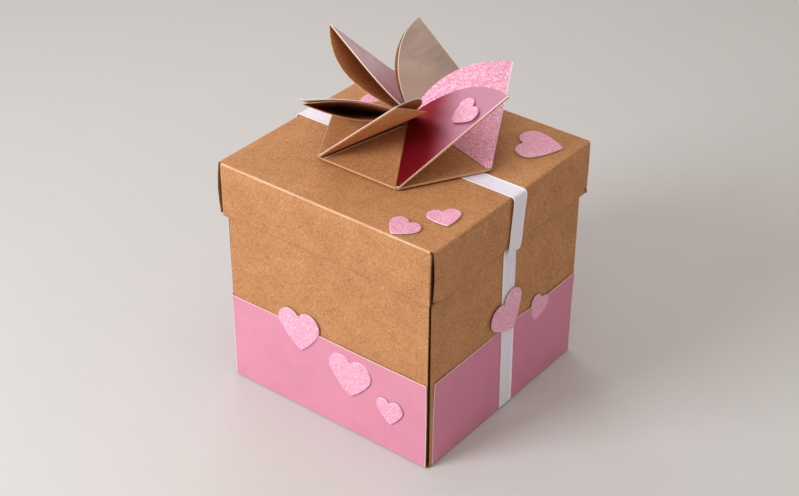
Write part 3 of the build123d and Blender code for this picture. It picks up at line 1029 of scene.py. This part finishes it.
def lid_rub_and_highlight(place):
    """How pale the lid's card is at a place, by wear and painted highlight: most on its front fold,
    least on the sides'.
    """
    inside_x = lid_half - abs(place.x)
    inside_y = lid_half - abs(place.y)
    down = lid_top - place.z
    if down > lid_fold_radius or min(inside_x, inside_y) > highlight_reach:
        return 0.0
    if inside_x < inside_y:
        return side_rub_and_highlight
    if place.y > 0:
        return back_rub_and_highlight
    return front_rub_and_highlight + front_highlight_drift * math.sin(place.x / front_highlight_wave)

def lid_painted_shade(place):
    """How much painted shade the lid's card gets: dark on the glued tabs for the slits, and along the
    cut foot for its shadow line.
    """
    behind = lid_half - abs(place.y)
    below_fold = place.z < lid_top - lid_fold_radius - tiny
    on_tab = tab_face - tab_shade_width < abs(place.x) < tab_face + tiny
    unshaded_foot = place.y > 0 and place.z < lid_bottom + unshaded_foot_height
    if below_fold and on_tab and not unshaded_foot and tab_shade_start < behind < tab_shade_end:
        return 1.0
    return foot_shadow if place.z < lid_bottom + foot_lift + tiny else 0.0

mark_points(lid_card, "rub_and_highlight", lid_rub_and_highlight)
mark_points(lid_card, "painted_shade", lid_painted_shade)
lid_card.data.materials.append(kraft_folded)
# The rim takes the dark edge, which adds painted shade to the shadow line at the foot.
lid_card.data.materials.append(kraft_dark_edge)
thicken(lid_card, card, -1, rim_slot=1)
hand_over(lid_card, "lid", "lid")
print("lid card:", len(lid_card.data.polygons), "faces")

# %% [markdown]
# ## The bloom
# The bloom is a single sheet too: a hexagon floor, six flaps folded in over it, and six petals,
# each two layers deep, whose outer edges are folds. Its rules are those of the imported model: a
# petal is a fan of straight lines from its corner, and the fan swells a little. Here the fan is
# laid finely enough to look smooth, and the fold between the two layers is truly round. The
# table gives each petal's lean and the swell of its upper and its lower layer, in degrees.

# %% Measure the bloom
bloom_card = 0.32 * mm
bloom_side = 46.5 * mm
bloom_rise = 12 * mm
foam_height = 1.1 * mm
bloom_spot = Vector((-3.95, 7.9, 0)) * mm
fold_line = 65 * mm
arc_rise = 10 * mm
throat_radius = 2 * mm
corner_step = 0.6 * mm
layer_gap = 0.1 * mm
petal_angle = math.radians(60.4)
bloom_turned = math.radians(240)
upper_skew = 0.8
lower_skew = 0.3
slope_step = 1 / 64
petal_count = 6
petals = [
    ("front_left", 40.4, 0.9, 3.8),
    ("front_right", 33.9, 0.9, 2.0),
    ("right", 18.9, 1.0, 0.9),
    ("back_right", 34.7, 1.0, 1.6),
    ("back_left", 42.0, 1.0, 6.5),
    ("left", 26.8, 2.4, 4.0),
]
bloom_base = lid_top + foam_height + bloom_card / 2

def around(angle, radius, height):
    """A point round the bloom's axis."""
    flat = Vector((math.cos(angle), math.sin(angle), 0)) * radius
    return bloom_spot + flat + Vector((0, 0, bloom_base + height))

def hexagon_corner(number):
    """A corner of the bloom's floor."""
    return around(bloom_turned + math.tau / petal_count * number, bloom_side, 0)

def flap_point(number):
    """The inner end of the flap between a corner and the next one round."""
    return around(bloom_turned + math.tau / petal_count * (number + 0.5), throat_radius, bloom_rise)

def stepped_corner(number, towards):
    """Where a flap's crease starts, a little along the side from the corner."""
    corner = hexagon_corner(number)
    return corner + (hexagon_corner(number + towards) - corner).normalized() * corner_step

def petal_axes(number):
    """A petal's crease direction, its direction across and the normal of its upper side."""
    lean = math.radians(petals[number][1])
    crease = (around(0, 0, bloom_rise) - hexagon_corner(number)).normalized()
    turn = bloom_turned + math.tau / petal_count * number
    round_way = Vector((-math.sin(turn), math.cos(turn), 0))
    upward = crease.cross(round_way)
    upward = upward if upward.z > 0 else -upward
    across = round_way * math.cos(lean) + upward * math.sin(lean)
    normal = upward * math.cos(lean) - round_way * math.sin(lean)
    return crease, across, normal

def petal_reach(angle):
    """Distance from the corner to the petal's free edge, an arc from the tip to the centre."""
    crease_length = (around(0, 0, bloom_rise) - hexagon_corner(0)).length
    tip = Vector((fold_line * math.cos(petal_angle), fold_line * math.sin(petal_angle)))
    foot = Vector((crease_length - throat_radius / 2, 0))
    chord = tip - foot
    radius = (chord.length ** 2 / 4 + arc_rise ** 2) / (2 * arc_rise)
    inward = Vector((-chord.y, chord.x)).normalized()
    hub = (tip + foot) / 2 + inward * (radius - arc_rise)
    along = hub.dot(Vector((math.cos(angle), math.sin(angle))))
    return along + math.sqrt(radius ** 2 - hub.length ** 2 + along ** 2)

def layer_ray(number, side, share):
    """Start and direction of one straight line of a petal layer, from fold line to crease."""
    crease, across, normal = petal_axes(number)
    fold = crease * math.cos(petal_angle) + across * math.sin(petal_angle)
    foot = stepped_corner(number, -1 if side > 0 else 1)
    seat = flap_point(number - 1 if side > 0 else number)
    bow, skew = (petals[number][2], upper_skew) if side > 0 else (petals[number][3], lower_skew)
    edge = (seat - foot).normalized()
    turn = math.acos(fold.dot(edge))
    blend = (fold * math.sin((1 - share) * turn) + edge * math.sin(share * turn)) / math.sin(turn)
    swell = math.sin(math.pi * share) + skew / 2 * math.sin(math.tau * share)
    swell *= math.tan(math.radians(bow))
    direction = (blend + normal * side * swell).normalized()
    spread = (bloom_card + layer_gap) / 2 * (1 - share)
    corner = hexagon_corner(number)
    return corner + (foot - corner) * share + normal * side * spread, direction

def layer_normal(number, side, share):
    """The outward direction of a petal layer along one of its straight lines."""
    before = layer_ray(number, side, max(share - slope_step, 0))
    after = layer_ray(number, side, min(share + slope_step, 1))
    tangent = (after[0] + after[1] * bloom_side) - (before[0] + before[1] * bloom_side)
    outward = layer_ray(number, side, share)[1].cross(tangent).normalized()
    return outward if outward.dot(petal_axes(number)[2]) * side > 0 else -outward

# %% [markdown]
# One petal is one grid. Its columns run from the crease of the lower layer to the fold, round
# the fold on a half circle, and on over the upper layer to the other crease.

# %% Fold the petals
petal_root = 0.9 * mm
fan_columns = 14
round_columns = 5
petal_rows = 12
petal_columns = 2 * fan_columns + round_columns

def petal_point(number, across, along):
    """The place of one point of a petal's sheet."""
    column = round(across * petal_columns)
    if column <= fan_columns:
        side, share, turn = -1, 1 - column / fan_columns, None
    elif column >= fan_columns + round_columns:
        side, share, turn = 1, (column - fan_columns - round_columns) / fan_columns, None
    else:
        side, share, turn = 1, 0, math.pi * (column - fan_columns) / round_columns
    reach = petal_reach(petal_angle * (1 - share))
    distance = petal_root + (reach - petal_root) * along
    if turn is None:
        start, direction = layer_ray(number, side, share)
        return start + direction * distance
    crease, across_way, normal = petal_axes(number)
    fold = crease * math.cos(petal_angle) + across_way * math.sin(petal_angle)
    outward = across_way * math.cos(petal_angle) - crease * math.sin(petal_angle)
    radius = (bloom_card + layer_gap) / 2
    lifted = outward * math.sin(turn) * radius - normal * math.cos(turn) * radius
    return hexagon_corner(number) + fold * distance + lifted

bloom_parts = []
for number in range(petal_count):
    petal = lay_grid(
        "petal_" + petals[number][0], petal_columns, petal_rows,
        lambda across, along: petal_point(number, across, along),
    )
    bloom_parts.append(petal)
print("petals:", len(bloom_parts), "with", len(bloom_parts[0].data.polygons), "faces each")

# %% [markdown]
# The floor and the flaps come as six like sectors. A sector's rows run out over the floor,
# round the fold at the hexagon's side, and back up the flap to its point near the middle.

# %% Fold the floor and the flaps
side_rows = 4
side_radius = 0.3 * mm
floor_hole = 0.02
side_turn = math.pi * 0.9
sector_columns = 6
flap_climbs = [0, 0.03, 0.5, 1]
side_highlight_reach = 0.9 * mm
bloom_side_highlight = 0.3

def sector_point(number, across, along):
    """The place of one point of a floor sector and its flap."""
    row = round(along * (side_rows + 4))
    left = hexagon_corner(number)
    right = hexagon_corner(number + 1)
    centre = around(0, 0, 0)
    outward = ((left + right) / 2 - centre).normalized()
    if row <= 1:
        edge = left + (right - left) * across - outward * side_radius
        return centre + (edge - centre) * (floor_hole if row == 0 else 1)
    flap_left = stepped_corner(number, 1)
    flap_right = stepped_corner(number + 1, -1)
    edge = flap_left + (flap_right - flap_left) * across
    if row <= side_rows + 1:
        turn = side_turn * (row - 1) / side_rows
        rise = side_radius * (1 - math.cos(turn))
        return edge + outward * side_radius * (math.sin(turn) - 1) + Vector((0, 0, rise))
    climb = flap_climbs[row - side_rows - 1]
    return edge + (flap_point(number) - edge) * climb

for number in range(petal_count):
    sector = lay_grid(
        "flap_" + str(number), sector_columns, side_rows + 4,
        lambda across, along: sector_point(number, across, along),
    )
    bloom_parts.append(sector)
bloom_sheet = join_pieces(bloom_parts, "bloom_sheet")

def bloom_highlight(place):
    """How much painted highlight the bloom's card gets: pale along the sides of its floor and nowhere
    else.
    """
    for number in range(petal_count):
        left = hexagon_corner(number)
        run = hexagon_corner(number + 1) - left
        share = min(max((place - left).dot(run) / run.length_squared, 0), 1)
        if (place - left - run * share).length < side_highlight_reach:
            return bloom_side_highlight
    return 0.0

mark_points(bloom_sheet, "rub_and_highlight", bloom_highlight)
bloom_sheet.data.materials.append(kraft_folded)
bloom_sheet.data.materials.append(kraft_cut)
thicken(bloom_sheet, bloom_card, 0, rim_slot=1)
print("bloom sheet:", len(bloom_sheet.data.polygons), "faces")

# %% [markdown]
# Where a petal leaves a flap the card is folded sharply. A slim bead along each crease gives the fold
# its blunt edge, with a faint painted highlight. Beside a petal's lining the bead is painted dark, as
# the shade in that crease. The front flap was scored twice: a groove and a ridge run a little off its
# crease, which shows as a double line in the shade of the petal. The groove is painted dark as shade,
# and the ridge is painted pale as a highlight.

# %% Bead the creases
crease_bead = 0.25 * mm
# Bead and ridge tones: painted highlight for the pale ones, painted shade for the dark bead and the
# groove.
bead_highlight = 0.2
bead_shade = 0.7
second_ridge = 0.35 * mm
groove_setoff = 5.0 * mm
ridge_setoff = 6.6 * mm
ridge_lift = 0.2 * mm
ridge_highlight = 0.4
ridge_start_share = 0.32
ridge_overrun_share = 0.04
rod_sides = 8
rod_sharp_from = math.radians(60)

def lay_rod(start, end, radius, rub_and_highlight, painted_shade):
    """A slim rod between two points, made pale by wear and painted highlight, or dark by painted shade.
    """
    run = end - start
    bpy.ops.object.select_all(action="DESELECT")
    bpy.ops.mesh.primitive_cylinder_add(
        vertices=rod_sides, radius=radius, depth=run.length, location=(start + end) / 2,
        rotation=run.to_track_quat("Z", "Y").to_euler(),
    )
    rod = bpy.context.object
    rod.data.materials.append(kraft_folded)
    mark_points(rod, "rub_and_highlight", lambda place: rub_and_highlight)
    mark_points(rod, "painted_shade", lambda place: painted_shade)
    bpy.ops.object.shade_smooth_by_angle(angle=rod_sharp_from)
    return rod

beads = []
for number in range(petal_count):
    top = flap_point(number)
    beads.append(lay_rod(stepped_corner(number, 1), top, crease_bead, bead_highlight, 0.0))
    beads.append(lay_rod(stepped_corner(number + 1, -1), top, crease_bead, bead_highlight, bead_shade))
side_middle = (hexagon_corner(0) + hexagon_corner(1)) / 2
down_flap = (side_middle - flap_point(0)).normalized()
along_side = (hexagon_corner(1) - hexagon_corner(0)).normalized()
lift_ridge = along_side.cross(down_flap) * -ridge_lift
for setoff, rub_and_highlight, painted_shade in ((groove_setoff, 0.0, 1.0), (ridge_setoff, ridge_highlight, 0.0)):
    ridge_start = stepped_corner(0, 1) + lift_ridge + along_side * setoff * ridge_start_share
    ridge_end = flap_point(0) + down_flap * setoff + lift_ridge
    ridge_end += (ridge_end - ridge_start) * ridge_overrun_share
    beads.append(lay_rod(ridge_start, ridge_end, second_ridge, rub_and_highlight, painted_shade))
bloom_sheet = join_pieces([bloom_sheet] + beads, "bloom_sheet")
hand_over(bloom_sheet, "lid", "bloom")
print("beads:", len(beads))

# %% [markdown]
# Each lining is cut from printed paper and glued to the upper layer, short of the crease. Two
# stop just short of the fold too. Three reach a hair over it, by the millimetres given below as
# negative insets, and the glitter one was cut long enough to cover it. The rim, the back and a
# narrow strip of the face along the fold are the white core, and on most the strip runs on along
# the free edge. The left petal's lining has come unstuck there and curls up at the tip.

# %% Glue on the linings
lining_paper = 0.25 * mm
glue_line = 0.05 * mm
lining_root = 1.6 * mm
fold_insets = {"front_left": -0.3, "front_right": -0.15, "right": -0.55, "back_left": -0.15}
fold_inset = 0.2
crease_inset = 1.5 * mm
white_margin = 0.42 * mm
arc_margin_share = 0.6
lining_columns = 16
lining_rows = 14
peel_height = 0.3 * mm
peel_tip = 1.3 * mm
peel_overhang = 1.4 * mm
peel_power = 5
peel_narrowing = 3

def lining_share(column, first, last):
    """Columns are even, but for narrow ones at the fold and the crease that may stay white."""
    if column in (0, lining_columns):
        return last if column else first
    margin = first + white_margin / fold_line
    end = last - white_margin / fold_line
    return margin + (end - margin) * (column - 1) / (lining_columns - 2)

def lining_point(number, across, along):
    """The place of one point of a lining's face."""
    name = petals[number][0]
    column = round(across * lining_columns)
    row = round(along * lining_rows)
    peeled = (row / lining_rows) ** peel_power if name == "left" else 0
    inset = fold_insets.get(name, fold_inset) * mm - peel_overhang * peeled
    share = lining_share(column, inset / fold_line, 1 - crease_inset / fold_line)
    start, direction = layer_ray(number, 1, share)
    reach = petal_reach(petal_angle * (1 - share)) + tiny
    if row == lining_rows:
        distance = reach
    else:
        printed = reach - arc_margin_share * white_margin - lining_root
        distance = lining_root + printed * row / (lining_rows - 1)
    near_tip = max(1 - share * peel_narrowing, 0)
    distance += peel_overhang * peeled * near_tip ** 2
    lift = bloom_card / 2 + glue_line + lining_paper
    lift += peeled * (peel_height + peel_tip * near_tip ** 2)
    return start + direction * distance + layer_normal(number, 1, share) * lift

# Where the painted shade towards a crease is full and where it ends, as shares of the way out to the
# fold's far end.
deep_shade_share = 0.24
no_shade_share = 0.58

def crease_nearness(number, place):
    """1 along a petal's crease, falling to 0 on the way out to its fold's far end."""
    outwards = (place - hexagon_corner(number)).dot(petal_axes(number)[1])
    share = outwards / (fold_line * math.sin(petal_angle))
    near = (no_shade_share - share) / (no_shade_share - deep_shade_share)
    near = min(max(near, 0), 1)
    return near * near * (3 - 2 * near)

def lining_is_white(name, column, row):
    """True along a lining's fold and, on some, along its free edge or its crease."""
    on_arc = row == lining_rows - 1 and name not in ("front_right", "right")
    on_crease = name == "right" and column == lining_columns - 1
    return column == 0 or on_arc or on_crease

for number in range(petal_count):
    name = petals[number][0]
    print_material, print_slot = petal_glitter, "glitter_paper"
    if name in foils:
        print_material, print_slot = foils[name], "gloss_paper"
    paper = lay_grid(
        "petal_paper_" + name, lining_columns, lining_rows,
        lambda across, along: lining_point(number, across, along),
    )
    mark_points(paper, "near_crease", lambda place: crease_nearness(number, place))
    paper.data.materials.append(print_material)
    paper.data.materials.append(paper_core)
    whiten(paper, lining_columns, lambda column, row: lining_is_white(name, column, row))
    face_outwards(paper, petal_axes(number)[2])
    thicken(paper, lining_paper, -1, rim_slot=1, back_slot=1)
    hand_over(paper, "lid", "petal_lining_" + name)
print("linings glued:", petal_count)

# %% [markdown]
# ## The ribbon
# The ribbon is one width of satin in three strips: one over the lid and one down each side
# wall, so that the lid still comes off. Each strip follows a path of a few named places with
# round corners, and its selvedges stand a little above its middle. The strips on the walls lean
# a little, as a tied ribbon does.

# %% Lay the ribbons
wall_low, wall_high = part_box("wall_ribbon_right")
ribbon_thickness = ribbon_high.z - lid_top
ribbon_columns = 8
selvedge_lift = 0.12 * mm
ribbon_ripple = 0.12 * mm
ripple_along = 0.9
ripple_across = 0.5
ripple_swell = 0.37
ribbon_stand = 1.5 * mm
ribbon_slope = 1.8 * mm
face_share = 0.75
satin_share = 0.7
ribbon_overrun = 0.3 * mm
tuck_depth = 3.2 * mm
tuck_arc = 0.9 * mm
fold_arc = 2.0 * mm
wall_shift = -1.0 * mm
wall_slant = math.radians(1.2)
wall_arc = 0.65 * mm

def cross_place(across):
    """Where a column lies across the ribbon, with narrow outer columns for the selvedges."""
    column = round(across * ribbon_columns)
    inner = ribbon_width / 2 - selvedge
    places = [-ribbon_width / 2, -ribbon_width / 2 + selvedge / 2]
    steps = ribbon_columns - 4
    places += [-inner + 2 * inner * step / steps for step in range(steps + 1)]
    places += [ribbon_width / 2 - selvedge / 2, ribbon_width / 2]
    return places[column]

def path_points(corners, arcs, run_steps, arc_steps):
    """Points along a path in the X-Z plane, with its corners rounded."""
    track = []
    for index, (start, end) in enumerate(zip(corners, corners[1:])):
        run = end - start
        cut_start = arcs[index - 1] if index else 0
        cut_end = arcs[index] if index < len(arcs) else 0
        for step in range(run_steps + 1):
            share = step / run_steps
            distance = cut_start + (run.length - cut_start - cut_end) * share
            track.append(start + run.normalized() * distance)
        if index < len(arcs):
            after = (corners[index + 2] - end).normalized()
            first = end - run.normalized() * cut_end
            last = end + after * cut_end
            for step in range(1, arc_steps):
                share = step / arc_steps
                track.append(
                    first * (1 - share) ** 2 + end * 2 * share * (1 - share) + last * share ** 2
                )
    return track

def ribbon_offset(height):
    """How far the taut ribbon stands off the lid's side: most at the top fold."""
    drop = min(max((lid_top - height) / (lid_top - lid_bottom), 0), 1)
    return ribbon_stand - ribbon_slope * drop

def lay_ribbon(name, corners, arcs, leaning=False):
    """A ribbon along a path of corners, its outer face to the left of the path's direction."""
    track = path_points(corners, arcs, run_steps=12, arc_steps=6)
    rows = len(track) - 1

    def ribbon_point(across, along):
        """The place of one point of the ribbon's outer face."""
        row = round(along * rows)
        here = track[row]
        run = (track[min(row + 1, rows)] - track[max(row - 1, 0)]).normalized()
        outward = Vector((-run.y, run.x))
        side = cross_place(across)
        edge = max(abs(side) - ribbon_width / 2 + selvedge, 0) / selvedge
        wave = math.sin(row * ripple_along + side / mm * ripple_across)
        ripple = wave * math.sin(row * ripple_swell) * ribbon_ripple
        lift = ribbon_thickness * face_share + selvedge_lift * min(edge * 2, 1) + max(ripple, 0)
        spot = here + outward * lift
        place = Vector((spot.x, ribbon_middle + side, spot.y))
        if leaning:
            place.y += wall_shift + (lid_bottom - place.z) * math.tan(wall_slant)
        else:
            place.x += place.x / lid_half * ribbon_offset(place.z)
        return place

    strip = lay_grid(name, ribbon_columns, rows, ribbon_point)
    mark_points(strip, "across", lambda place: (place.y - ribbon_middle) / mm)
    mark_points(strip, "along", lambda place: (place.x - place.z) / mm)
    strip.data.materials.append(ribbon_satin)
    return strip

ribbon_end = ribbon_low.z - ribbon_overrun
band_face = base_half + band_paper
tuck = Vector((band_face + ribbon_thickness + skirt_taper, lid_bottom - tuck_depth))
lid_path = [
    Vector((-tuck.x, tuck.y)), Vector((-lid_half, ribbon_end)), Vector((-lid_half, lid_top)),
    Vector((lid_half, lid_top)), Vector((lid_half, ribbon_end)), tuck,
]
lid_strip = lay_ribbon("ribbon_over_lid", lid_path, [tuck_arc, fold_arc, fold_arc, tuck_arc])
wall_path = [
    Vector((base_half, wall_high.z)), Vector((base_half, band_high.z + 2 * wall_arc)),
    Vector((band_face, band_high.z - wall_arc)), Vector((band_face, wall_low.z)),
]
right_strip = lay_ribbon("ribbon_right", wall_path, [wall_arc, wall_arc], leaning=True)
left_strip = lay_ribbon("ribbon_left", wall_path, [wall_arc, wall_arc], leaning=True)
for point in left_strip.data.vertices:
    point.co.x = -point.co.x
for strip, body, node, outside in (
    (lid_strip, "lid", "lid_ribbon", (0, 0, 1)),
    (right_strip, "box", "wall_ribbon_right", (1, 0, 0)),
    (left_strip, "box", "wall_ribbon_left", (-1, 0, 0)),
):
    face_outwards(strip, outside)
    thicken(strip, ribbon_thickness * satin_share, -1)
    hand_over(strip, body, node)
print("ribbons laid: 3")

# %% [markdown]
# ## The hearts
# A punched heart is thin glitter card on a smaller foam pad, so that a dark gap runs under its
# edge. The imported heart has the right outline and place. We copy it and slice the copy with a
# plane: the outer slice is the card, and the rest, drawn in towards the middle, is the pad.

# %% Slice the hearts
heart_plate = 0.55 * mm
pad_share = 0.76
petal_heart_share = 0.2
upright_below = 0.3
heart_sides = {"front": (0, -1, 0), "right": (1, 0, 0), "on": (1, 0, 0), "lid": (0, 0, 1)}

def heart_outward(name):
    """The direction in which a heart faces."""
    if name == "heart_petal":
        return layer_normal(1, 1, petal_heart_share)
    return Vector(heart_sides[name.split("_")[1]])

def heart_slice(name, outward, keep_outer):
    """A copy of a packed heart, cut by a plane under its card."""
    piece = bpy.data.objects.new(name + "_slice", nodes[name].data.copy())
    bpy.context.scene.collection.objects.link(piece)
    top = max(point.co.dot(outward) for point in piece.data.vertices)
    edit_whole(
        piece, bpy.ops.mesh.bisect, plane_co=outward * (top - heart_plate), plane_no=outward,
        use_fill=True, clear_inner=keep_outer, clear_outer=not keep_outer,
    )
    piece.data.materials.clear()
    return piece

def draw_in(piece, outward, share):
    """Draw a piece in towards its middle, but leave its height."""
    middle = sum((point.co for point in piece.data.vertices), Vector()) / len(piece.data.vertices)
    for point in piece.data.vertices:
        offset = point.co - middle
        rise = outward * offset.dot(outward)
        point.co = middle + (offset - rise) * share + rise

hearts = [name for name in nodes if name.startswith("heart_")]
for name in hearts:
    outward = heart_outward(name)
    plate = heart_slice(name, outward, True)
    plate.data.materials.append(heart_glitter)
    plate.data.materials.append(paper_core)
    for face in plate.data.polygons:
        upright = abs(face.normal.dot(outward)) < upright_below
        face.material_index = 1 if upright else 0
    pad = heart_slice(name, outward, False)
    draw_in(pad, outward, pad_share)
    pad.data.materials.append(foam)
    whole = join_pieces([plate, pad], name + "_card")
    bpy.ops.object.shade_smooth_by_angle(angle=sharp_from)
    hand_over(whole, body_of(nodes[name])[0], name)
print("hearts:", len(hearts))

# %% [markdown]
# The nested layers and the foam strips stay as packed. They only need their finishes.

# %% Dress the inner layers and the foam
def dress(name, material):
    """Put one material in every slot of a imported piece."""
    mesh = nodes[name].data
    if not mesh.materials:
        mesh.materials.append(material)
    for index in range(len(mesh.materials)):
        mesh.materials[index] = material

for name in ("middle_layer", "inner_layer"):
    dress(name, kraft)
for name in ("foam_strip_front", "foam_strip_back"):
    dress(name, foam)
print("dressed packed pieces: 4")

# %% [markdown]
# The table top is a plain pale grey with the faintest mottle.

# %% Material: table top
floor_material, floor_tree, floor_shader = new_material("table top")
speck = lay_texture(floor_tree, "ShaderNodeTexNoise", {"Scale": 30.0, "Detail": 3.0})
floor_tone = mix_colour(
    floor_tree, speck.outputs["Fac"], from_screen(206, 204, 203), from_screen(209, 207, 206)
)
floor_tree.links.new(floor_tone, floor_shader.inputs["Base Color"])
floor_shader.inputs["Roughness"].default_value = 0.8
floor.data.materials.append(floor_material)
